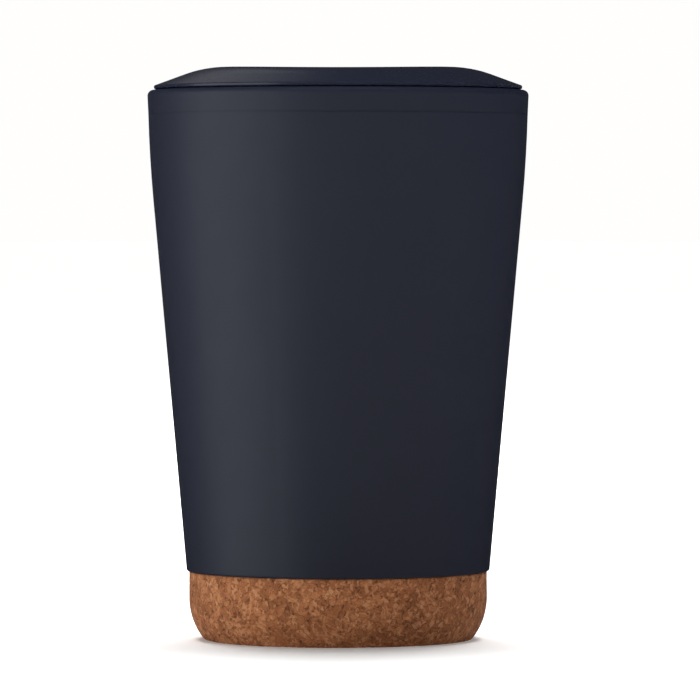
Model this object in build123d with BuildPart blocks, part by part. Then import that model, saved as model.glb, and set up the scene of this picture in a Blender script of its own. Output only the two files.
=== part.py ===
from build123d import *
import os
from math import atan2, hypot, radians, sqrt, tan

# A rigid double-wall steel tumbler with a press-on drinking lid and a cork base.
# Millimetres. +Z is up, the origin is the centre of the face that it rests on,
# and the drinking side of the lid is towards -Y.

# ---- overall sizes
rim_radius = 40.0
foot_radius = 31.8          # bottom edge of the steel body
cork_height = 14.4          # cork that shows below the steel body
body_height = 100.8         # steel body, from its bottom edge to the top of the rim
lid_rise = 4.8              # lid that shows above the rim

foot_level = cork_height
rim_level = foot_level + body_height
total_height = rim_level + lid_rise

# ---- steel body
sheet = 0.5
foot_corner = 0.5           # outside radius where the wall turns in at the foot
foot_lip = 1.2              # width of the turned-in lip at the foot
ease_height = 22.9          # the straight taper ends this far below the rim
ease_inset = 1.26           # and this far inside the rim's radius
band_height = 5.0           # narrow band under the rim, above a faint crease
band_flare = 0.22
rim_corner = 1.2            # rounded outer edge of the rim
rim_width = 2.7             # both walls together, seen from above
rim_seam_inset = 1.6        # the walls meet this far inside the rim's radius
mouth_corner = 0.9          # rounded inner edge of the rim
liner_inset = 3.4           # outside of the body to inside of the liner, at the foot

ease_point = (rim_radius - ease_inset, rim_level - ease_height)
crease_point = (rim_radius - band_flare, rim_level - band_height)
taper = atan2(ease_point[0] - foot_radius, ease_point[1] - foot_level)
seam_radius = rim_radius - rim_seam_inset
mouth_radius = rim_radius - rim_width
liner_foot_radius = foot_radius - liner_inset
liner_taper = atan2(mouth_radius - liner_foot_radius, body_height)


def liner_radius(level):
    """Inside radius of the liner at a level above the table."""
    return liner_foot_radius + (level - foot_level) * tan(liner_taper)


# ---- bottom of the steel body
plate_recess = 3.0          # underside of the base plate above the body's bottom edge
plate_gap = 2.5             # vacuum gap between the base plate and the liner's floor
plate_fit = 0.05
dimple_radius = 6.0         # pressed up in the middle of the base plate
dimple_rise = 1.2
seal_bead_radius = 3.2
seal_bead_height = 1.0
seal_bead_round = 0.5
seal_hole_radius = 0.6
getter_radius = 4.5
getter_height = 0.8
getter_edge_break = 0.2
getter_offset = 15.0
floor_corner = 3.5          # inside radius between the liner's floor and its wall
weld_rise = 0.6             # the floor's upright edge, from its corner to the wall's lower edge

plate_level = foot_level + plate_recess
plate_edge_radius = foot_radius - sheet - plate_fit
dimple_level = plate_level + dimple_rise
floor_level = plate_level + sheet + plate_gap + sheet    # inside of the drinking cavity
weld_level = floor_level + floor_corner + weld_rise

# ---- cork base
cork_inset = 0.5            # cork stands back from the steel above it
cork_straight = 5.6         # upright part of its side
cork_base_inset = 3.2       # the side's curve comes in this far at the bottom
cork_bottom_round = 0.7
cork_top_break = 0.25
boss_fit = 0.2              # cork boss inside the foot's turned-in lip
boss_break = 0.5
glue_thickness = 0.2
glue_margin = 2.0

cork_radius = foot_radius - cork_inset
lip_radius = foot_radius - foot_lip
boss_radius = lip_radius - boss_fit
boss_level = plate_level - glue_thickness

# ---- lid cover
flange_inset = 1.4          # lid's edge stands back from the rim's edge
seat_gap = 0.2              # dark line between the rim and the lid
flange_edge = 0.72
flange_round = 0.3
flank_angle = 20.1          # slope of the lid's flank, in degrees
shoulder_round = 24.0
arch_radius = 520.0         # the top is very slightly arched, front to back
dish_radius = 22.5
dish_depth = 3.0
dish_wall = 1.6
dish_floor_round = 1.0
dish_edge_round = 0.5
cover_wall = 1.6
hollow_outer_inset = 5.6    # solid ring under the flank's outer part
spigot_height = 1.6
spigot_wall = 1.2
spigot_inset = 0.3          # its outside, from the dish's wall
spigot_fit = 0.1

flange_radius = rim_radius - flange_inset
seat_level = rim_level + seat_gap
dish_level = total_height - dish_depth
hollow_inner_radius = dish_radius + dish_wall
hollow_outer_radius = flange_radius - hollow_outer_inset
spigot_radius = dish_radius - spigot_inset
flank_foot = (flange_radius, seat_level + flange_edge)
flank_slope = tan(radians(flank_angle))
arch_room = 0.5             # the blank stands this far above the arched top
blank_level = total_height + arch_room
blank_top_radius = flange_radius - (blank_level - flank_foot[1]) / flank_slope
match_tolerance = 0.001


def arch_drop(distance):
    """How far the arched top has dropped at a distance from its middle line."""
    return arch_radius - sqrt(arch_radius**2 - distance**2)


def flank_level(radius):
    """Level of the sloping flank at a distance from the lid's axis."""
    return flank_foot[1] + (flange_radius - radius) * flank_slope


def is_at_radius(edge, radius):
    """Whether an edge runs round the axis at this distance from it."""
    points = [edge @ share for share in (0, 0.25, 0.5, 0.75)]
    return all(abs(hypot(point.X, point.Y) - radius) < match_tolerance for point in points)


def is_dish_edge(edge):
    """Whether an edge bounds the dish's wall, at its floor or at its top."""
    return is_at_radius(edge, dish_radius) and edge.center().Z > dish_level - match_tolerance


# ---- sip hole, vent and slider track in the lid's dish
sip_length = 12.0
sip_width = 6.0
sip_inset = 6.5             # its middle, from the dish's wall
vent_radius = 0.9
vent_inset = 2.6
track_half_width = 9.3
rail_width = 2.0
rail_lip = 1.0              # the rails reach this far over the slider's tongues
rail_lip_thickness = 0.8
rail_height = 2.2
rail_start = 4.5            # from the sip hole's edge to the rails
back_room = 5.5             # from the open slider's back end to the dish's wall
slider_travel = 12.5
stop_gap = 0.4
stop_width = 8.0
stop_length = 1.0
stop_height = 1.0

sip_y = sip_inset - dish_radius
vent_y = dish_radius - vent_inset
rail_front = sip_y + sip_width / 2 + rail_start
rail_back = dish_radius - back_room
rail_middle = (rail_front + rail_back) / 2
stop_y = rail_back + stop_gap + stop_length / 2

# ---- slider
side_fit = 0.2
lip_fit = 0.3
under_fit = 0.1
front_gap = 0.8             # slider's front end to the dish's wall when it is shut
slider_corner = 3.0
slider_height = 1.9         # without the grip ridges
slider_edge = 0.3
grip_count = 4
grip_pitch = 2.2
grip_width = 1.0
grip_length = 11.0
grip_height = 0.5
grip_round = 0.25
grip_inset = 5.7            # middle of the grip, from the slider's back end
pad_margin = 1.0
pad_thickness = 0.7
pad_fit = 0.05
pad_lift = 0.02             # the pad rides this far below the slider's underside

tongue_half_width = track_half_width - side_fit
slider_half_width = track_half_width - rail_lip - lip_fit
slider_level = dish_level + under_fit
tongue_top = dish_level + rail_height - rail_lip_thickness - side_fit
slider_top = slider_level + slider_height
slider_nose_y = -(dish_radius - front_gap - tongue_half_width)
slider_back = rail_back - slider_travel                 # its back end when it is shut
grip_middle = slider_back - grip_inset
pad_level = slider_level - pad_lift
pocket_margin = pad_margin + pad_fit

# ---- plug under the lid, and its gasket
plug_depth = 11.2           # below the lid's seat
skirt_wall = 1.6
skirt_gap = 1.73            # skirt to the liner, at the plug's bottom edge
skirt_edge_round = 0.4
web_thickness = 1.6
rib_reach = 1.2
rib_height = 1.2
rib_lead = 0.5
lower_rib_rise = 1.0        # lower rib above the plug's bottom edge
gasket_height = 3.8
gasket_play = 0.1
gasket_fit = 0.05
gasket_band = 0.9
gasket_lip_gap = 0.15       # gasket's lips to the liner
gasket_lip_height = 1.2
gasket_lip_count = 2
gasket_tip = 0.25           # blunt edge of each lip

plug_bottom = seat_level - plug_depth
skirt_radius = liner_radius(plug_bottom) - skirt_gap
rib_radius = skirt_radius + rib_reach
web_hole_radius = spigot_radius + spigot_fit
lower_rib_level = plug_bottom + lower_rib_rise
groove_level = lower_rib_level + rib_height
upper_rib_level = groove_level + gasket_height + 2 * gasket_play
gasket_level = groove_level + gasket_play
band_radius = skirt_radius + gasket_fit + gasket_band
gasket_lip_pitch = gasket_height / gasket_lip_count
gasket_lip_levels = [
    gasket_level + gasket_lip_pitch * (index + 0.5) - gasket_lip_height / 2
    for index in range(gasket_lip_count)
]


# ---- steel body: the outer wall, from its turned-in foot to the rolled rim
with BuildPart() as outer_wall:
    with BuildSketch(Plane.XZ):
        with BuildLine():
            side = FilletPolyline(
                (lip_radius, foot_level),
                (foot_radius, foot_level),
                ease_point,
                radius=foot_corner,
            )
            ease = TangentArc(ease_point, crease_point, tangent=side % 1)
            FilletPolyline(
                ease @ 1,
                (rim_radius, rim_level),
                (seam_radius, rim_level),
                radius=rim_corner,
            )
            offset(amount=sheet, kind=Kind.INTERSECTION, side=Side.LEFT)
        make_face()
    revolve(axis=Axis.Z)
outer_wall.part.label = "outer_wall"


# ---- steel body: the liner's wall, welded to the outer wall at the rim
with BuildPart() as inner_wall:
    with BuildSketch(Plane.XZ):
        with BuildLine():
            FilletPolyline(
                (liner_radius(weld_level), weld_level),
                (mouth_radius, rim_level),
                (seam_radius, rim_level),
                radius=mouth_corner,
            )
            offset(amount=sheet, kind=Kind.INTERSECTION, side=Side.RIGHT)
        make_face()
    revolve(axis=Axis.Z)
inner_wall.part.label = "inner_wall"


# ---- steel body: the liner's pressed floor
with BuildPart() as inner_floor:
    with BuildSketch(Plane.XZ):
        with BuildLine():
            FilletPolyline(
                (0, floor_level),
                (liner_radius(floor_level), floor_level),
                (liner_radius(weld_level), weld_level),
                radius=floor_corner,
            )
            offset(amount=sheet, kind=Kind.INTERSECTION, side=Side.RIGHT)
        make_face()
    revolve(axis=Axis.Z)
inner_floor.part.label = "inner_floor"


# ---- steel body: the recessed base plate, with a dimple for the vacuum seal
with BuildPart() as base_plate:
    with BuildSketch(Plane.XZ):
        with BuildLine():
            Polyline(
                (plate_edge_radius, foot_level + sheet),
                (plate_edge_radius + plate_recess * tan(taper), plate_level + sheet),
                (dimple_radius, plate_level + sheet),
                (dimple_radius - dimple_rise, plate_level + sheet + dimple_rise),
                (seal_hole_radius, plate_level + sheet + dimple_rise),
            )
            offset(amount=sheet, kind=Kind.INTERSECTION, side=Side.LEFT)
        make_face()
    revolve(axis=Axis.Z)
base_plate.part.label = "base_plate"


# ---- the solder bead that seals the vacuum, under the dimple and up through its hole
with BuildPart() as seal_bead:
    with BuildSketch(Plane.XY.offset(dimple_level)):
        Circle(seal_bead_radius)
    extrude(amount=-seal_bead_height)
    fillet(seal_bead.edges().group_by(Axis.Z)[0], radius=seal_bead_round)
    with BuildSketch(Plane.XY.offset(dimple_level)):
        Circle(seal_hole_radius)
    extrude(amount=sheet)
seal_bead.part.label = "seal_bead"


# ---- the getter tablet that keeps the vacuum, on the base plate
with BuildPart() as getter_tablet:
    with BuildSketch(Plane.XY.offset(plate_level + sheet)):
        with Locations((getter_offset, 0)):
            Circle(getter_radius)
    extrude(amount=getter_height)
    chamfer(getter_tablet.edges().group_by(Axis.Z)[-1], length=getter_edge_break)
getter_tablet.part.label = "getter_tablet"


# ---- the glue between the base plate and the cork
with BuildPart() as base_glue:
    with BuildSketch(Plane.XY.offset(boss_level)):
        Circle(boss_radius - glue_margin)
        Circle(dimple_radius, mode=Mode.SUBTRACT)
    extrude(amount=glue_thickness)
base_glue.part.label = "base_glue"


# ---- the cork base, with a boss that plugs into the steel foot
with BuildPart() as cork_base:
    with BuildSketch(Plane.XZ):
        with BuildLine():
            curve = TangentArc(
                (cork_radius, foot_level - cork_straight),
                (cork_radius - cork_base_inset, 0),
                tangent=(0, -1),
            )
            Polyline(
                curve @ 1,
                (0, 0),
                (0, boss_level),
                (boss_radius, boss_level),
                (boss_radius, foot_level),
                (cork_radius, foot_level),
                curve @ 0,
            )
        make_face()
    revolve(axis=Axis.Z)
    round_edges = cork_base.edges().filter_by(GeomType.CIRCLE)
    fillet(round_edges.group_by(Axis.Z)[0], radius=cork_bottom_round)
    shoulder_edges = cork_base.edges().filter_by_position(Axis.Z, foot_level, foot_level)
    chamfer(shoulder_edges.sort_by(Edge.length)[-1], length=cork_top_break)
    chamfer(cork_base.edges().group_by(Axis.Z)[-1], length=boss_break)
cork_base.part.label = "cork_base"


# ---- lid: the cover, with its flange, sloping flank and dished top
with BuildPart() as lid_cover:
    with BuildSketch(Plane.XZ):
        with BuildLine():
            Polyline(
                (0, seat_level),
                (flange_radius, seat_level),
                flank_foot,
                (blank_top_radius, blank_level),
                (0, blank_level),
                close=True,
            )
        make_face()
    revolve(axis=Axis.Z)
    with BuildSketch(Plane.YZ):
        with BuildLine():
            arch = ThreePointArc(
                (-flange_radius, total_height - arch_drop(flange_radius)),
                (0, total_height),
                (flange_radius, total_height - arch_drop(flange_radius)),
            )
            Polyline(
                arch @ 1,
                (flange_radius, blank_level + arch_room),
                (-flange_radius, blank_level + arch_room),
                arch @ 0,
            )
        make_face()
    extrude(amount=flange_radius, both=True, mode=Mode.SUBTRACT)
    fillet(lid_cover.faces().sort_by(Axis.Z)[-1].edges(), radius=shoulder_round)
    flange_edges = [edge for edge in lid_cover.edges() if is_at_radius(edge, flange_radius)]
    fillet(flange_edges, radius=flange_round)

    # the ring-shaped hollow under the flank, closed by the plug
    with BuildSketch(Plane.XZ):
        with BuildLine():
            Polyline(
                (hollow_inner_radius, seat_level),
                (hollow_outer_radius, seat_level),
                (hollow_outer_radius, flank_level(hollow_outer_radius) - cover_wall),
                (hollow_inner_radius, total_height - arch_drop(hollow_outer_radius) - cover_wall),
                close=True,
            )
        make_face()
    revolve(axis=Axis.Z, mode=Mode.SUBTRACT)

    # the spigot that centres the plug
    with BuildSketch(Plane.XY.offset(seat_level)):
        Circle(spigot_radius)
        Circle(spigot_radius - spigot_wall, mode=Mode.SUBTRACT)
    extrude(amount=-spigot_height)

    # the dish in the top
    with BuildSketch(Plane.XY.offset(dish_level)):
        Circle(dish_radius)
    extrude(amount=dish_depth + arch_room, mode=Mode.SUBTRACT)
    fillet(lid_cover.edges().filter_by(is_dish_edge).group_by(Axis.Z)[0], radius=dish_floor_round)
    upper_edges = lid_cover.edges().filter_by(is_dish_edge).group_by(Axis.Z)[1:]
    fillet([edge for group in upper_edges for edge in group], radius=dish_edge_round)

    # the rails that hold the slider, each with a lip over the slider's tongue
    for side_sign in (-1, 1):
        with BuildSketch(Plane.XY.offset(dish_level)):
            with Locations((side_sign * (track_half_width + rail_width / 2), rail_middle)):
                Rectangle(rail_width, rail_back - rail_front)
        extrude(amount=rail_height)
        with BuildSketch(Plane.XY.offset(dish_level + rail_height)):
            with Locations((side_sign * (track_half_width + (rail_width - rail_lip) / 2), rail_middle)):
                Rectangle(rail_width + rail_lip, rail_back - rail_front)
        extrude(amount=-rail_lip_thickness)

    # the stop behind the open slider
    with BuildSketch(Plane.XY.offset(dish_level)):
        with Locations((0, stop_y)):
            Rectangle(stop_width, stop_length)
    extrude(amount=stop_height)

    # the sip hole and the air vent
    with BuildSketch(Plane.XY.offset(dish_level)):
        with Locations((0, sip_y)):
            SlotOverall(sip_length, sip_width)
        with Locations((0, vent_y)):
            Circle(vent_radius)
    extrude(amount=seat_level - dish_level, mode=Mode.SUBTRACT)
lid_cover.part.label = "lid_cover"


# ---- lid: the plug that goes into the mouth, with two ribs around its gasket
with BuildPart() as lid_plug:
    with BuildSketch(Plane.XZ):
        with BuildLine():
            Polyline(
                (web_hole_radius, seat_level),
                (skirt_radius, seat_level),
                (skirt_radius, upper_rib_level + rib_height),
                (rib_radius, upper_rib_level + rib_height),
                (rib_radius, upper_rib_level),
                (skirt_radius, upper_rib_level),
                (skirt_radius, groove_level),
                (rib_radius, groove_level),
                (rib_radius, lower_rib_level + rib_lead),
                (rib_radius - rib_lead, lower_rib_level),
                (skirt_radius, lower_rib_level),
                (skirt_radius, plug_bottom),
                (skirt_radius - skirt_wall, plug_bottom),
                (skirt_radius - skirt_wall, seat_level - web_thickness),
                (web_hole_radius, seat_level - web_thickness),
                close=True,
            )
        make_face()
    revolve(axis=Axis.Z)
    fillet(lid_plug.edges().group_by(Axis.Z)[0], radius=skirt_edge_round)
lid_plug.part.label = "lid_plug"


# ---- lid: the silicone gasket, a band with two lips
with BuildPart() as lid_gasket:
    outline = [(skirt_radius + gasket_fit, gasket_level), (band_radius, gasket_level)]
    for lip_level in gasket_lip_levels:
        tip_level = lip_level + gasket_lip_height / 2
        tip_radius = liner_radius(tip_level - gasket_tip / 2) - gasket_lip_gap
        outline.append((band_radius, lip_level))
        outline.append((tip_radius, tip_level - gasket_tip / 2))
        outline.append((tip_radius, tip_level + gasket_tip / 2))
        outline.append((band_radius, lip_level + gasket_lip_height))
    outline.append((band_radius, gasket_level + gasket_height))
    outline.append((skirt_radius + gasket_fit, gasket_level + gasket_height))
    with BuildSketch(Plane.XZ):
        with BuildLine():
            Polyline(*outline, close=True)
        make_face()
    revolve(axis=Axis.Z)
lid_gasket.part.label = "lid_gasket"


# ---- the slider that shuts the sip hole: a tongued plate with a raised grip
slider_layers = (
    (tongue_half_width, slider_level, tongue_top),
    (slider_half_width, tongue_top, slider_top),
)
with BuildPart() as slider:
    for half_width, low, high in slider_layers:
        with BuildSketch(Plane.XY.offset(low)) as layer:
            with Locations((0, (slider_nose_y + slider_back) / 2)):
                Rectangle(2 * half_width, slider_back - slider_nose_y)
            fillet(layer.vertices().group_by(Axis.Y)[-1], radius=slider_corner)
            with Locations((0, slider_nose_y)):
                Circle(half_width)
        extrude(amount=high - low)
    fillet(slider.edges().group_by(Axis.Z)[-1], radius=slider_edge)
    for index in range(grip_count):
        grip_y = grip_middle + (index - (grip_count - 1) / 2) * grip_pitch
        with BuildSketch(Plane.XY.offset(slider_top)):
            with Locations((0, grip_y)):
                SlotOverall(grip_length, grip_width)
        extrude(amount=grip_height)
    fillet(slider.edges().group_by(Axis.Z)[-1], radius=grip_round)
    with BuildSketch(Plane.XY.offset(slider_level)):
        with Locations((0, sip_y)):
            SlotOverall(sip_length + 2 * pocket_margin, sip_width + 2 * pocket_margin)
    extrude(amount=pad_thickness - pad_lift, mode=Mode.SUBTRACT)
slider.part.label = "slider"


# ---- the silicone pad in the slider, over the sip hole
with BuildPart() as slider_seal:
    with BuildSketch(Plane.XY.offset(pad_level)):
        with Locations((0, sip_y)):
            SlotOverall(sip_length + 2 * pad_margin, sip_width + 2 * pad_margin)
    extrude(amount=pad_thickness)
slider_seal.part.label = "slider_seal"


pieces = (
    outer_wall,
    inner_wall,
    inner_floor,
    base_plate,
    seal_bead,
    getter_tablet,
    base_glue,
    cork_base,
    lid_cover,
    lid_plug,
    lid_gasket,
    slider,
    slider_seal,
)
os.makedirs("parts", exist_ok=True)
for piece in pieces:
    export_step(piece.part, f"parts/{piece.part.label}.step")
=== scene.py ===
import math

import bmesh
import bpy
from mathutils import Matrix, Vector, noise


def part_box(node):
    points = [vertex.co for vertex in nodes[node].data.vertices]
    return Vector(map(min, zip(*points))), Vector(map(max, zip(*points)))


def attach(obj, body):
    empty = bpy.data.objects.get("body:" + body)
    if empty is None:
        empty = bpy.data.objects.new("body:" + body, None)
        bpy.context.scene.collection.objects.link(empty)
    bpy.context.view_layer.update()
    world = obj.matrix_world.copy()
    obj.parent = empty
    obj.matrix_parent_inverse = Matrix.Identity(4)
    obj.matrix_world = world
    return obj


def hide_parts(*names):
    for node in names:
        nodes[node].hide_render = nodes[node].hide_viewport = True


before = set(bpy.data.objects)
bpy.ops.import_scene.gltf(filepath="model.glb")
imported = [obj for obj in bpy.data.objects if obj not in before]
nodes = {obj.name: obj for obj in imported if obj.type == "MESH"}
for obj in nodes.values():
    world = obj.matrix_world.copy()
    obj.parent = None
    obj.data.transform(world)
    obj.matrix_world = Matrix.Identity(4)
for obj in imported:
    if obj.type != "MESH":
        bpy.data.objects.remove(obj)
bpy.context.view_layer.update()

# Everything is in metres, in the CAD frame: +Z up, the drinking side of the lid towards -Y.
MM = 0.001

rim_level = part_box("outer_wall")[1][2]
foot_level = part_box("outer_wall")[0][2]


# ---------------------------------------------------------------- the camera's values

CAMERA_DISTANCE = 1.27
CAMERA_HEIGHT = 0.089
CAMERA_SIDE = 0.0025
AIM_HEIGHT = 0.0607
SENSOR_WIDTH = 36.0
FRAME_PIXELS = 700
PIXELS_PER_RADIAN = 6052.0
CAMERA_REACH = 50.0

# ---------------------------------------------------------------- the studio's values

FLOOR_SIZE = 40.0
FLOOR_WHITE = (1.0, 0.992, 0.980, 1.0)
FLOOR_SHADE = (0.90, 0.88, 0.865, 1.0)
FLOOR_GLOW_NEAR = 0.25      # the floor's own glow round the cup, where its shadow shows
FLOOR_GLOW_FAR = 1.0
FLOOR_NEAR = 0.12           # distances from the cup's axis between which the glow rises
FLOOR_FAR = 0.50
BACKDROP_RADIUS = 19.0
BACKDROP_SIDES = 96

# softboxes: size in metres, place, power in watts and, where it isn't white, colour
KEY_SOFTBOX = ((2.0, 1.7), (-1.54, -0.55, 0.20), 14.9, (0.94, 1.0, 0.99))
OVERHEAD_SOFTBOX = ((2.0, 2.0), (0.0, 0.0, 1.8), 31.0)
FLOOR_SOFTBOX = ((1.4, 1.4), (0.0, 0.55, 1.8), 73.0)
LID_SOFTBOX = ((0.55, 0.83), (-0.40, 2.18, 1.33), 0.36)
CORK_SOFTBOX = ((0.8, 0.8), (-1.12, -1.28, 0.40), 9.6)
LINER_LIGHTS = 4            # stand in a ring round the cup
LINER_LIGHT_SIZE = (1.7, 1.5)
LINER_LIGHT_RADIUS = 1.5
LINER_LIGHT_HEIGHT = 1.3
LINER_LIGHT_POWER = 7.0
WORLD_COLOUR = (1.0, 0.99, 0.98, 1.0)
WORLD_STRENGTH = 0.02

# ---------------------------------------------------------------- colours and finishes

NAVY = (0.0146, 0.0176, 0.0358)
NAVY_LIGHT = (0.0176, 0.0210, 0.0415)
NAVY_PLASTIC = (0.0185, 0.0218, 0.0425)
NAVY_PLASTIC_LIGHT = (0.0215, 0.0250, 0.0480)
STEEL_DARK = (0.50, 0.49, 0.475)
STEEL_LIGHT = (0.66, 0.655, 0.64)
SILICONE_DARK = (0.42, 0.43, 0.45)
SILICONE_LIGHT = (0.55, 0.56, 0.575)
GLUE_DARK = (0.66, 0.62, 0.48)
GLUE_LIGHT = (0.80, 0.77, 0.65)
GLASS_DARK = (0.02, 0.02, 0.02)
GLASS_LIGHT = (0.06, 0.06, 0.055)
GETTER_DARK = (0.08, 0.08, 0.08)
GETTER_LIGHT = (0.16, 0.155, 0.15)

COAT_ROUGHNESS = (0.46, 0.54)
LID_ROUGHNESS = (0.23, 0.30)
PLUG_ROUGHNESS = (0.36, 0.46)
STEEL_ROUGHNESS = (0.24, 0.38)
SILICONE_ROUGHNESS = (0.42, 0.58)
CORK_ROUGHNESS = (0.68, 0.88)

BAND_HEIGHT = 5.0 * MM      # of the narrow band under the rim, above a faint crease
CREASE_WIDTH = 0.40 * MM
CREASE_DEPTH = 0.030 * MM
# painted shade: the dark colour the coat is mixed towards along the crease under the rim
CREASE_PAINTED_SHADE = (0.006, 0.0075, 0.013)
CREASE_CLEAR = 0.68         # how much of the coat's own colour the crease keeps under its painted shade
STEEL_LINE = 0.10 * MM
LINE_STRETCH = 4 * MM       # a turn of one radian counts as this far, so the lines run round

# ---------------------------------------------------------------- the cork's colours

CORK_DARK = (0.054, 0.017, 0.007)
CORK_DEEP = (0.121, 0.041, 0.016)
CORK_MIDDLE = (0.234, 0.085, 0.033)
CORK_WARM = (0.336, 0.131, 0.053)
CORK_LIGHT = (0.500, 0.243, 0.120)
GRANULE = 2.2 * MM          # the colour's large granules
CRUMB = 1.0 * MM            # and the small ones among them
CRACK = 1.4 * MM            # between the fine dark cracks
JOINT_STRENGTH = 0.50
CRACK_STRENGTH = 0.70
PALE_STRENGTH = 0.44
DARK_STRENGTH = 0.50

# flakes lie a few ways: the turn of each kind, its length, its width and its share of the surface
PALE_FLAKES = (
    ((0.0, 0.0, 0.0), 1.8 * MM, 0.60 * MM, 0.06),
    ((1.1, 0.0, 0.4), 2.6 * MM, 0.65 * MM, 0.07),
    ((-0.8, 0.9, 0.0), 2.2 * MM, 0.75 * MM, 0.07),
    ((1.6, 0.5, 0.0), 2.8 * MM, 1.00 * MM, 0.06),
)
DARK_FLAKES = (
    ((1.5, 0.2, 0.0), 1.9 * MM, 0.55 * MM, 0.06),
    ((0.7, -0.6, 0.2), 1.6 * MM, 0.60 * MM, 0.06),
    ((-0.3, 0.0, 1.0), 0.8 * MM, 0.50 * MM, 0.03),
)

# ---------------------------------------------------------------- the cork base's sizes

CORK_INSET = 0.5 * MM       # the cork's side stands back from the steel's bottom edge
CORK_STRAIGHT = 5.6 * MM
CORK_BASE_INSET = 3.2 * MM
CORK_BOTTOM_ROUND = 0.7 * MM
CORK_TOP_BREAK = 0.25 * MM
BOSS_INSET = 1.4 * MM       # the boss's side, from the steel's bottom edge
BOSS_BREAK = 0.5 * MM
CORK_STEP = 0.36 * MM       # between the mesh's points
CORK_COLUMNS = 540
SMOOTH_BOTTOM = 24 * MM     # the bottom is fine-grained outside this radius
BOTTOM_STEP = 1.2 * MM      # and coarser inside it

# the cork's relief: sizes across the surface, and depths below it
PUSH_SIZE = 1.7 * MM        # of the noise that pushes the joints and pits about
PUSH = 0.6 * MM
JOINT_CELL = 2.3 * MM
JOINT_WIDTH = 0.16          # as a share of the cell, as is the pit's
JOINT_DEPTH = 0.07 * MM
GRANULE_SIZE = 2.8 * MM
GRANULE_DEPTH = 0.05 * MM
ROUGH_SIZE = 0.8 * MM
ROUGH_DEPTH = 0.03 * MM
PIT_CELL = 3.4 * MM
PIT_WIDTH = 0.17
PIT_STEEPNESS = 1.6
PIT_DEPTH = 0.16 * MM


# ---------------------------------------------------------------- camera and studio


def make_camera():
    """A long lens, almost level with the cup, a little to its right."""
    data = bpy.data.cameras.new("camera")
    data.sensor_width = SENSOR_WIDTH
    data.lens = SENSOR_WIDTH * PIXELS_PER_RADIAN / FRAME_PIXELS
    data.clip_end = CAMERA_REACH
    camera = bpy.data.objects.new("camera", data)
    bpy.context.scene.collection.objects.link(camera)
    camera.location = (CAMERA_SIDE, -CAMERA_DISTANCE, CAMERA_HEIGHT)
    down = math.atan2(CAMERA_HEIGHT - AIM_HEIGHT, CAMERA_DISTANCE)
    camera.rotation_euler = (math.pi / 2 - down, 0.0, 0.0)
    bpy.context.scene.camera = camera


def make_floor():
    """A plain, almost white floor that runs out of sight."""
    bpy.ops.mesh.primitive_plane_add(size=FLOOR_SIZE)
    floor = bpy.context.object
    floor.name = "floor"
    graph = Graph("floor")
    away = graph.node("VectorMath", {"operation": "LENGTH"})
    graph.link(graph.place(), away.inputs[0])
    glow = graph.node("MapRange", Value=away.outputs["Value"])
    glow.inputs["From Min"].default_value = FLOOR_NEAR
    glow.inputs["From Max"].default_value = FLOOR_FAR
    glow.inputs["To Min"].default_value = FLOOR_GLOW_NEAR
    glow.inputs["To Max"].default_value = FLOOR_GLOW_FAR
    shade = graph.node("BsdfDiffuse", Color=FLOOR_SHADE)
    light = graph.node("Emission", Color=FLOOR_WHITE, Strength=glow.outputs["Result"])
    both = graph.node("AddShader")
    graph.link(shade, both.inputs[0])
    graph.link(light, both.inputs[1])
    graph.link(both, graph.output.inputs["Surface"])
    floor.data.materials.append(graph.material)
    floor.visible_glossy = False
    return floor


def make_backdrop():
    """A plain white wall, far off all round the cup, which closes the floor's horizon."""
    mesh = bmesh.new()
    bmesh.ops.create_cone(
        mesh,
        cap_ends=False,
        segments=BACKDROP_SIDES,
        radius1=BACKDROP_RADIUS,
        radius2=BACKDROP_RADIUS,
        depth=FLOOR_SIZE,
    )
    data = bpy.data.meshes.new("backdrop")
    mesh.to_mesh(data)
    mesh.free()
    wall = bpy.data.objects.new("backdrop", data)
    bpy.context.scene.collection.objects.link(wall)
    graph = Graph("backdrop")
    glow = graph.node("Emission", Color=FLOOR_WHITE, Strength=1.0)
    graph.link(glow, graph.output.inputs["Surface"])
    data.materials.append(graph.material)
    wall.visible_glossy = False
    wall.visible_diffuse = False


def make_light(name, size, place, power, colour=(1.0, 1.0, 1.0)):
    """A rectangular softbox that faces the cup."""
    data = bpy.data.lights.new(name, "AREA")
    data.shape = "RECTANGLE"
    data.size, data.size_y = size
    data.energy = power
    data.color = colour
    light = bpy.data.objects.new(name, data)
    bpy.context.scene.collection.objects.link(light)
    light.location = place
    facing = Vector((0.0, 0.0, rim_level / 2)) - Vector(place)
    light.rotation_euler = facing.to_track_quat("-Z", "Y").to_euler()
    return light


def light_only(light, pieces):
    """Keeps a light to these pieces."""
    lit = bpy.data.collections.new("lit_by_" + light.name)
    for piece in pieces:
        lit.objects.link(piece)
    light.light_linking.receiver_collection = lit


def light_all_but(light, piece):
    """Keeps a light off this piece."""
    unlit = bpy.data.collections.new("unlit_by_" + light.name)
    unlit.objects.link(piece)
    unlit.collection_objects[0].light_linking.link_state = "EXCLUDE"
    light.light_linking.receiver_collection = unlit


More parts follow.
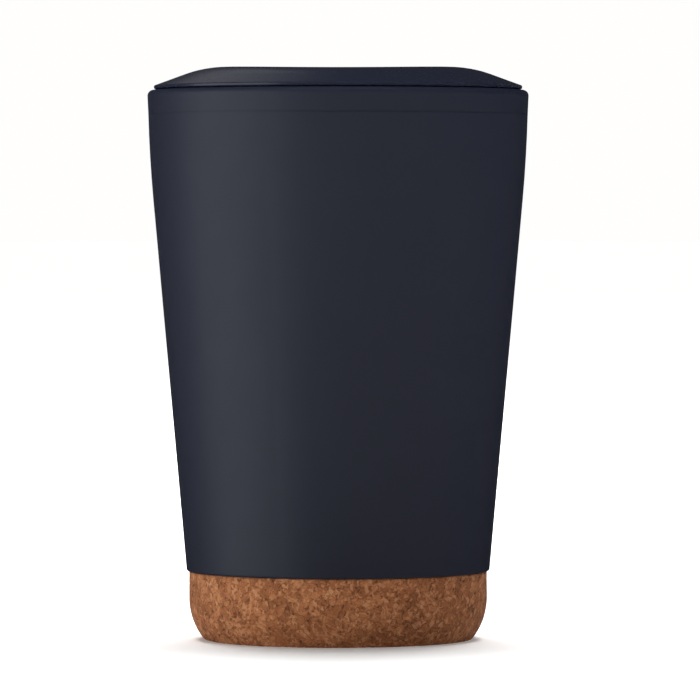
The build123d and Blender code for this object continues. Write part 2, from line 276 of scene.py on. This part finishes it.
def make_studio():
    """A broad soft light on the left and one above, and lights for floor, lid and liner alone."""
    floor = make_floor()
    make_backdrop()
    key = make_light("key", *KEY_SOFTBOX)
    overhead = make_light("overhead", *OVERHEAD_SOFTBOX)
    lid_light = make_light("lid_light", *LID_SOFTBOX)
    floor_light = make_light("floor_light", *FLOOR_SOFTBOX)
    light_all_but(key, floor)
    light_all_but(overhead, floor)
    light_only(lid_light, [nodes["lid_cover"], nodes["slider"]])
    for index in range(LINER_LIGHTS):
        turn = 2 * math.pi * (index + 0.5) / LINER_LIGHTS
        x, y = LINER_LIGHT_RADIUS * math.cos(turn), LINER_LIGHT_RADIUS * math.sin(turn)
        place = (x, y, LINER_LIGHT_HEIGHT)
        name = f"liner_light_{index}"
        liner_light = make_light(name, LINER_LIGHT_SIZE, place, LINER_LIGHT_POWER)
        light_only(liner_light, [nodes["inner_wall"], nodes["inner_floor"]])
    light_only(floor_light, [floor])
    overhead.visible_glossy = False
    floor_light.visible_glossy = False
    world = bpy.data.worlds.new("studio")
    world.use_nodes = True
    background = world.node_tree.nodes["Background"]
    background.inputs["Color"].default_value = WORLD_COLOUR
    background.inputs["Strength"].default_value = WORLD_STRENGTH
    bpy.context.scene.world = world
    bpy.context.scene.view_settings.view_transform = "Standard"


# ---------------------------------------------------------------- shader graphs


class Graph:
    """A material's nodes. Inputs are given by name, as values or as sockets to link."""

    def __init__(self, name):
        self.material = bpy.data.materials.new(name)
        self.material.use_nodes = True
        self.tree = self.material.node_tree
        self.tree.nodes.clear()
        self.output = self.tree.nodes.new("ShaderNodeOutputMaterial")

    def node(self, kind, settings=None, **inputs):
        """Adds a node. settings are its own properties, and inputs its sockets."""
        made = self.tree.nodes.new("ShaderNode" + kind)
        for key, value in (settings or {}).items():
            setattr(made, key, value)
        for key, value in inputs.items():
            self.fill(made.inputs[key.replace("_", " ")], value)
        return made

    def fill(self, socket, value):
        """Gives an input a value, or links another socket to it."""
        if isinstance(value, bpy.types.NodeSocket):
            self.tree.links.new(value, socket)
        else:
            socket.default_value = value

    def link(self, source, target):
        """Links a node's first output, or a socket, to an input."""
        if isinstance(source, bpy.types.Node):
            source = source.outputs[0]
        self.tree.links.new(source, target)

    def math(self, operation, first, second=0.0):
        """One sum on one or two numbers."""
        made = self.node("Math", {"operation": operation})
        self.fill(made.inputs[0], first)
        self.fill(made.inputs[1], second)
        return made.outputs[0]

    def place(self):
        """The point on the surface, in metres, in the part's own frame."""
        return self.node("TexCoord").outputs["Object"]

    def noise(self, place, size, detail=2.0, roughness=0.5):
        """Noise from 0 to 1 whose features are about this size, in metres."""
        scale = 1.0 / size
        made = self.node("TexNoise", Vector=place, Scale=scale, Detail=detail, Roughness=roughness)
        return made.outputs["Fac"]

    def cells(self, place, size, feature="F1"):
        """Irregular cells of about this size. Returns the whole node."""
        return self.node("TexVoronoi", {"feature": feature}, Vector=place, Scale=1.0 / size)

    def warped(self, place, size, amount):
        """The place, pushed about by noise of this size, by up to this amount in metres."""
        push = self.node("TexNoise", Vector=place, Scale=1.0 / size, Detail=2.0)
        centred = self.node("VectorMath", {"operation": "SUBTRACT"})
        self.link(push.outputs["Color"], centred.inputs[0])
        centred.inputs[1].default_value = (0.5, 0.5, 0.5)
        moved = self.node("VectorMath", {"operation": "MULTIPLY_ADD"})
        self.link(centred, moved.inputs[0])
        moved.inputs[1].default_value = (2.0 * amount,) * 3
        self.link(place, moved.inputs[2])
        return moved.outputs[0]

    def stretched(self, place, factors):
        """The place with each axis multiplied by its own factor."""
        made = self.node("VectorMath", {"operation": "MULTIPLY"})
        self.link(place, made.inputs[0])
        made.inputs[1].default_value = factors
        return made.outputs[0]

    def ramp(self, factor, stops, smooth=False):
        """Colours or grey levels along a factor: stops are (position, colour or grey)."""
        made = self.node("ValToRGB", Fac=factor)
        scale = made.color_ramp
        scale.interpolation = "EASE" if smooth else "LINEAR"
        while len(scale.elements) < len(stops):
            scale.elements.new(0.5)
        for element, (position, value) in zip(scale.elements, stops):
            element.position = position
            grey = isinstance(value, (int, float))
            element.color = (value, value, value, 1.0) if grey else (*value, 1.0)
        return made.outputs["Color"]

    def mix(self, factor, first, second):
        """Mixes two colours."""
        made = self.node("Mix", {"data_type": "RGBA"})
        self.fill(made.inputs[0], factor)
        for socket, colour in ((made.inputs[6], first), (made.inputs[7], second)):
            self.fill(socket, (*colour, 1.0) if isinstance(colour, tuple) else colour)
        return made.outputs[2]

    def spread(self, factor, low, high):
        """A factor from 0 to 1, spread over another range."""
        made = self.node("MapRange", Value=factor)
        made.inputs["To Min"].default_value = low
        made.inputs["To Max"].default_value = high
        return made.outputs["Result"]

    def blended(self, *shares):
        """A weighted sum of numbers: each is given with its weight."""
        total = 0.0
        for source, share in shares:
            total = self.math("ADD", self.math("MULTIPLY", source, share), total)
        return total

    def bump(self, height, depth, normal=None):
        """A bump this deep, in metres, where the height runs from 0 to 1."""
        made = self.node("Bump", Height=height, Distance=depth, Strength=1.0)
        if normal is not None:
            self.link(normal, made.inputs["Normal"])
        return made.outputs["Normal"]

    def finish(self, **inputs):
        """Adds the surface shader, with these inputs, and returns the material."""
        shader = self.node("BsdfPrincipled", **inputs)
        self.link(shader, self.output.inputs["Surface"])
        return self.material


# ---------------------------------------------------------------- materials


def make_coat():
    """Soft matt lacquer over steel: a very fine orange peel, a trace of cloudiness and painted shade
    along the crease under the rim.
    """
    graph = Graph("navy_coat")
    place = graph.place()
    clouds = graph.noise(place, 22 * MM, detail=3.0)
    speckle = graph.noise(place, 0.5 * MM, detail=1.0)
    tone = graph.blended((clouds, 0.7), (speckle, 0.3))
    colour = graph.mix(tone, NAVY, NAVY_LIGHT)
    peel = graph.noise(place, 0.9 * MM, detail=2.0)
    grain = graph.noise(place, 0.22 * MM, detail=1.0)
    level = graph.node("SeparateXYZ", Vector=place).outputs["Z"]
    above = graph.math("DIVIDE", graph.math("SUBTRACT", level, rim_level - BAND_HEIGHT), CREASE_WIDTH)
    crease = graph.ramp(graph.math("ABSOLUTE", above), ((0.0, 0.0), (1.0, 1.0)), smooth=True)
    # painted shade: the coat's colour is darkened along the crease, where shade would fall
    colour = graph.mix(graph.spread(crease, CREASE_CLEAR, 1.0), CREASE_PAINTED_SHADE, colour)
    surface = graph.bump(grain, 0.0025 * MM, graph.bump(peel, 0.006 * MM))
    surface = graph.bump(crease, CREASE_DEPTH, surface)
    roughness = graph.spread(graph.noise(place, 6 * MM, detail=4.0), *COAT_ROUGHNESS)
    return graph.finish(Base_Color=colour, Roughness=roughness, Normal=surface, IOR=1.46)


def make_moulded(name, roughnesses):
    """Moulded polypropylene with a fine spark-eroded texture, between two roughnesses."""
    graph = Graph(name)
    place = graph.place()
    clouds = graph.noise(place, 9 * MM, detail=3.0)
    colour = graph.mix(clouds, NAVY_PLASTIC, NAVY_PLASTIC_LIGHT)
    texture = graph.noise(place, 0.30 * MM, detail=2.0)
    flow = graph.noise(place, 5 * MM, detail=1.0)
    surface = graph.bump(texture, 0.0022 * MM, graph.bump(flow, 0.008 * MM))
    roughness = graph.spread(graph.noise(place, 3 * MM, detail=4.0), *roughnesses)
    return graph.finish(Base_Color=colour, Roughness=roughness, Normal=surface, IOR=1.49)


def make_steel():
    """Stainless steel finished on a lathe: fine lines run round the axis."""
    graph = Graph("steel")
    place = graph.place()
    axes = graph.node("SeparateXYZ", Vector=place)
    x, y, z = axes.outputs
    squares = graph.math("ADD", graph.math("POWER", x, 2.0), graph.math("POWER", y, 2.0))
    radius = graph.math("SQRT", squares)
    angle = graph.math("ARCTAN2", y, x)
    along = graph.node("CombineXYZ", X=graph.math("MULTIPLY", angle, LINE_STRETCH), Y=radius, Z=z)
    lines = graph.noise(along.outputs[0], STEEL_LINE, detail=3.0, roughness=0.6)
    broad = graph.noise(place, 12 * MM, detail=2.0)
    colour = graph.mix(graph.math("MULTIPLY", lines, 0.8), STEEL_DARK, STEEL_LIGHT)
    roughness = graph.spread(graph.blended((lines, 0.6), (broad, 0.4)), *STEEL_ROUGHNESS)
    surface = graph.bump(lines, 0.003 * MM)
    return graph.finish(
        Base_Color=colour,
        Metallic=1.0,
        Roughness=roughness,
        Anisotropic=0.45,
        Normal=surface,
    )


def make_silicone():
    """Milky grey silicone with a faint bloom."""
    graph = Graph("silicone")
    place = graph.place()
    bloom = graph.noise(place, 4 * MM, detail=4.0)
    colour = graph.mix(bloom, SILICONE_DARK, SILICONE_LIGHT)
    surface = graph.bump(graph.noise(place, 0.35 * MM, detail=2.0), 0.01 * MM)
    roughness = graph.spread(bloom, *SILICONE_ROUGHNESS)
    return graph.finish(
        Base_Color=colour,
        Roughness=roughness,
        Normal=surface,
        IOR=1.41,
        Subsurface_Weight=0.25,
        Subsurface_Scale=0.0015,
    )


def pick(graph, cells, channel):
    """One random number from 0 to 1 for each cell."""
    return graph.node("SeparateColor", Color=cells.outputs["Color"]).outputs[channel]


def growth_lines(graph, place, cells, pitch):
    """Growth lines that run a different way in each granule, from 0 to 1."""
    way = graph.node("VectorMath", {"operation": "SUBTRACT"})
    graph.link(cells.outputs["Color"], way.inputs[0])
    way.inputs[1].default_value = (0.5, 0.5, 0.5)
    unit = graph.node("VectorMath", {"operation": "NORMALIZE"})
    graph.link(way, unit.inputs[0])
    across = graph.node("VectorMath", {"operation": "DOT_PRODUCT"})
    graph.link(unit, across.inputs[0])
    graph.link(place, across.inputs[1])
    lines = graph.node(
        "TexNoise",
        {"noise_dimensions": "1D"},
        W=across.outputs["Value"],
        Scale=1.0 / pitch,
        Detail=3.0,
        Roughness=0.65,
    )
    return lines.outputs["Fac"]


def flakes(graph, place, turn, length, width, share):
    """A mask of long thin flakes that lie one way and cover this share of the surface."""
    turned = graph.node("VectorRotate", {"rotation_type": "EULER_XYZ"}, Vector=place)
    turned.inputs["Rotation"].default_value = turn
    cells = graph.cells(graph.stretched(turned.outputs[0], (1.0, 1.0, width / length)), width)
    chosen = graph.math("GREATER_THAN", pick(graph, cells, 1), 1.0 - share)
    inside = graph.ramp(cells.outputs["Distance"], ((0.42, 1.0), (0.60, 0.0)))
    return graph.math("MULTIPLY", chosen, inside)


def make_cork():
    """Agglomerated cork: granules and flakes of bark, pressed together every way round."""
    graph = Graph("cork")
    place = graph.place()
    bent = graph.warped(place, 1.5 * MM, 0.55 * MM)
    torn = graph.warped(bent, 0.45 * MM, 0.20 * MM)

    large = graph.cells(torn, GRANULE)
    small = graph.cells(torn, CRUMB)
    is_large = graph.math("GREATER_THAN", pick(graph, large, 1), 0.50)
    tone = graph.node("Mix", Factor=is_large, A=pick(graph, small, 0), B=pick(graph, large, 0))
    lines_large = growth_lines(graph, bent, large, 0.42 * MM)
    lines_small = growth_lines(graph, bent, small, 0.34 * MM)
    lines = graph.node("Mix", Factor=is_large, A=lines_small, B=lines_large).outputs[0]

    blotches = graph.noise(place, 8 * MM, detail=2.0)
    fine = graph.noise(torn, 0.30 * MM, detail=3.0, roughness=0.7)
    colour = graph.ramp(
        graph.blended((tone.outputs[0], 0.18), (lines, 0.42), (blotches, 0.18), (fine, 0.22)),
        (
            (0.30, CORK_DEEP),
            (0.43, CORK_MIDDLE),
            (0.56, CORK_WARM),
            (0.74, CORK_LIGHT),
        ),
    )

    # faint joints round the granules, broken up by noise
    edge = graph.cells(torn, GRANULE, feature="DISTANCE_TO_EDGE").outputs["Distance"]
    joint = graph.ramp(edge, ((0.0, 1.0), (0.09, 0.0)))
    patchy = graph.ramp(graph.noise(place, 1.3 * MM, detail=2.0), ((0.44, 0.0), (0.62, 1.0)))
    joint = graph.math("MULTIPLY", joint, patchy)
    colour = graph.mix(graph.math("MULTIPLY", joint, JOINT_STRENGTH), colour, CORK_DARK)

    # fine dark cracks, broken up too
    crack_edge = graph.cells(torn, CRACK, feature="DISTANCE_TO_EDGE").outputs["Distance"]
    crack = graph.ramp(crack_edge, ((0.0, 1.0), (0.07, 0.0)))
    broken = graph.ramp(graph.noise(bent, 0.9 * MM, detail=2.0), ((0.46, 0.0), (0.58, 1.0)))
    crack = graph.math("MULTIPLY", crack, broken)
    colour = graph.mix(graph.math("MULTIPLY", crack, CRACK_STRENGTH), colour, CORK_DARK)

    # pale flakes, and dark ones of bark
    for turn, length, width, share in PALE_FLAKES:
        mask = flakes(graph, torn, turn, length, width, share)
        colour = graph.mix(graph.math("MULTIPLY", mask, PALE_STRENGTH), colour, CORK_LIGHT)
    hollow = joint
    for turn, length, width, share in DARK_FLAKES:
        mask = flakes(graph, torn, turn, length, width, share)
        colour = graph.mix(graph.math("MULTIPLY", mask, DARK_STRENGTH), colour, CORK_DARK)
        hollow = graph.math("MAXIMUM", hollow, mask)

    height = graph.blended((lines, 0.5), (fine, 0.5))
    height = graph.math("SUBTRACT", height, graph.math("MULTIPLY", hollow, 0.6))
    surface = graph.bump(height, 0.06 * MM)
    roughness = graph.spread(fine, *CORK_ROUGHNESS)
    return graph.finish(
        Base_Color=colour,
        Roughness=roughness,
        Normal=surface,
        IOR=1.35,
        Specular_IOR_Level=0.25,
    )


def make_plain(name, dark, light, size, roughness):
    """A simple mottled finish for pieces that are sealed inside."""
    graph = Graph(name)
    place = graph.place()
    mottle = graph.noise(place, size, detail=4.0)
    colour = graph.mix(mottle, dark, light)
    surface = graph.bump(mottle, 0.02 * MM)
    return graph.finish(Base_Color=colour, Roughness=roughness, Normal=surface)


def dress(material, *names):
    """Gives CAD nodes a material in place of their plain one."""
    for name in names:
        for entry in nodes[name].material_slots:
            entry.material = material


def make_materials():
    """One material for each of the record's slots, on its CAD nodes. Returns the cork's."""
    dress(make_coat(), "outer_wall")
    dress(make_moulded("navy_plastic", LID_ROUGHNESS), "lid_cover", "slider")
    dress(make_moulded("plug_plastic", PLUG_ROUGHNESS), "lid_plug")
    dress(make_steel(), "inner_wall", "inner_floor", "base_plate")
    dress(make_silicone(), "lid_gasket", "slider_seal")
    cork = make_cork()
    dress(cork, "cork_base")
    dress(make_plain("glue", GLUE_DARK, GLUE_LIGHT, 3 * MM, 0.35), "base_glue")
    dress(make_plain("seal_glass", GLASS_DARK, GLASS_LIGHT, 1 * MM, 0.12), "seal_bead")
    dress(make_plain("getter", GETTER_DARK, GETTER_LIGHT, 0.4 * MM, 0.8), "getter_tablet")
    return cork


# ---------------------------------------------------------------- the cork base's surface


def walk(points, step):
    """Points along a path of straight pieces, about this far apart, its corners kept."""
    path = [points[0]]
    for start, end in zip(points, points[1:]):
        length = math.dist(start, end)
        count = max(1, round(length / step))
        for index in range(1, count + 1):
            share = index / count
            path.append(tuple(a + (b - a) * share for a, b in zip(start, end)))
    return path


def arc(centre, radius, start, end, step):
    """Points along an arc, from one angle to another."""
    count = max(2, round(abs(end - start) * radius / step))
    angles = [start + (end - start) * index / count for index in range(count + 1)]
    return [(centre[0] + radius * math.cos(a), centre[1] + radius * math.sin(a)) for a in angles]


def cork_outline():
    """The cork's outline as (r, z): from the bottom's middle up its side, then what is hidden."""
    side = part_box("cork_base")[1][0]
    foot_radius = side + CORK_INSET
    rise = foot_level - CORK_STRAIGHT
    sweep = (rise**2 + CORK_BASE_INSET**2) / (2 * CORK_BASE_INSET)
    middle = (side - sweep, rise)
    drop = rise - CORK_BOTTOM_ROUND
    reach = math.sqrt((sweep - CORK_BOTTOM_ROUND) ** 2 - drop**2)
    meet = -math.atan2(drop, reach)
    corner = (middle[0] + reach, CORK_BOTTOM_ROUND)
    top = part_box("cork_base")[1][2]
    boss = foot_radius - BOSS_INSET
    bottom = walk([(0.0, 0.0), (SMOOTH_BOTTOM, 0.0)], BOTTOM_STEP)
    bottom += walk([(SMOOTH_BOTTOM, 0.0), (corner[0], 0.0)], CORK_STEP)[1:]
    bottom += arc(corner, CORK_BOTTOM_ROUND, -math.pi / 2, meet, CORK_STEP / 2)[1:]
    bottom += arc(middle, sweep, meet, 0.0, CORK_STEP)[1:]
    bottom += walk([(side, rise), (side, foot_level - CORK_TOP_BREAK)], CORK_STEP)[1:]
    hidden = [
        (side - CORK_TOP_BREAK, foot_level),
        (boss, foot_level),
        (boss, top - BOSS_BREAK),
        (boss - BOSS_BREAK, top),
        (0.0, top),
    ]
    return bottom, hidden


def cork_hollow(point):
    """How far the cork's surface is sunk at a point: joints, granules and open pits."""
    push = noise.noise_vector(point / PUSH_SIZE) * PUSH
    near, _ = noise.voronoi((point + push) / JOINT_CELL)
    gap = near[1] - near[0]
    joint = max(0.0, 1.0 - gap / JOINT_WIDTH)
    granule = 0.5 + 0.5 * noise.noise(point / GRANULE_SIZE)
    rough = 0.5 + 0.5 * noise.noise(point / ROUGH_SIZE)
    pit_near, _ = noise.voronoi((point + push) / PIT_CELL)
    pit = max(0.0, 1.0 - pit_near[0] / PIT_WIDTH)
    grain = GRANULE_DEPTH * granule + ROUGH_DEPTH * rough
    return JOINT_DEPTH * joint**2 + grain + PIT_DEPTH * min(1.0, PIT_STEEPNESS * pit)


def make_cork_piece(material):
    """The cork base with its granules, joints and pits, sunk into the CAD base's surface."""
    shown, hidden = cork_outline()
    outline = shown + hidden
    mesh = bmesh.new()
    rings = []
    last = len(outline) - 1
    for index, (radius, level) in enumerate(outline):
        if index in (0, last):
            rings.append([mesh.verts.new((0.0, 0.0, level))])
            continue
        before, after = outline[index - 1], outline[index + 1]
        along = Vector((after[0] - before[0], after[1] - before[1])).normalized()
        ring = []
        for column in range(CORK_COLUMNS):
            turn = 2 * math.pi * column / CORK_COLUMNS
            outward = Vector((math.cos(turn), math.sin(turn), 0.0))
            point = outward * radius + Vector((0.0, 0.0, level))
            if index < len(shown):
                normal = outward * along.y - Vector((0.0, 0.0, along.x))
                point -= normal * cork_hollow(point)
            ring.append(mesh.verts.new(point))
        rings.append(ring)
    for lower, upper in zip(rings, rings[1:]):
        for column in range(CORK_COLUMNS):
            beside = (column + 1) % CORK_COLUMNS
            if len(lower) == 1:
                mesh.faces.new((lower[0], upper[beside], upper[column]))
            elif len(upper) == 1:
                mesh.faces.new((lower[column], lower[beside], upper[0]))
            else:
                mesh.faces.new((lower[column], lower[beside], upper[beside], upper[column]))
    for face in mesh.faces:
        face.smooth = True
    data = bpy.data.meshes.new("cork_surface")
    mesh.to_mesh(data)
    mesh.free()
    data.materials.append(material)
    piece = bpy.data.objects.new("cork_surface", data)
    bpy.context.scene.collection.objects.link(piece)
    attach(piece, "cup")
    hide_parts("cork_base")
    return piece


make_camera()
make_studio()
cork_piece = make_cork_piece(make_materials())
light_only(make_light("cork_light", *CORK_SOFTBOX), [cork_piece])
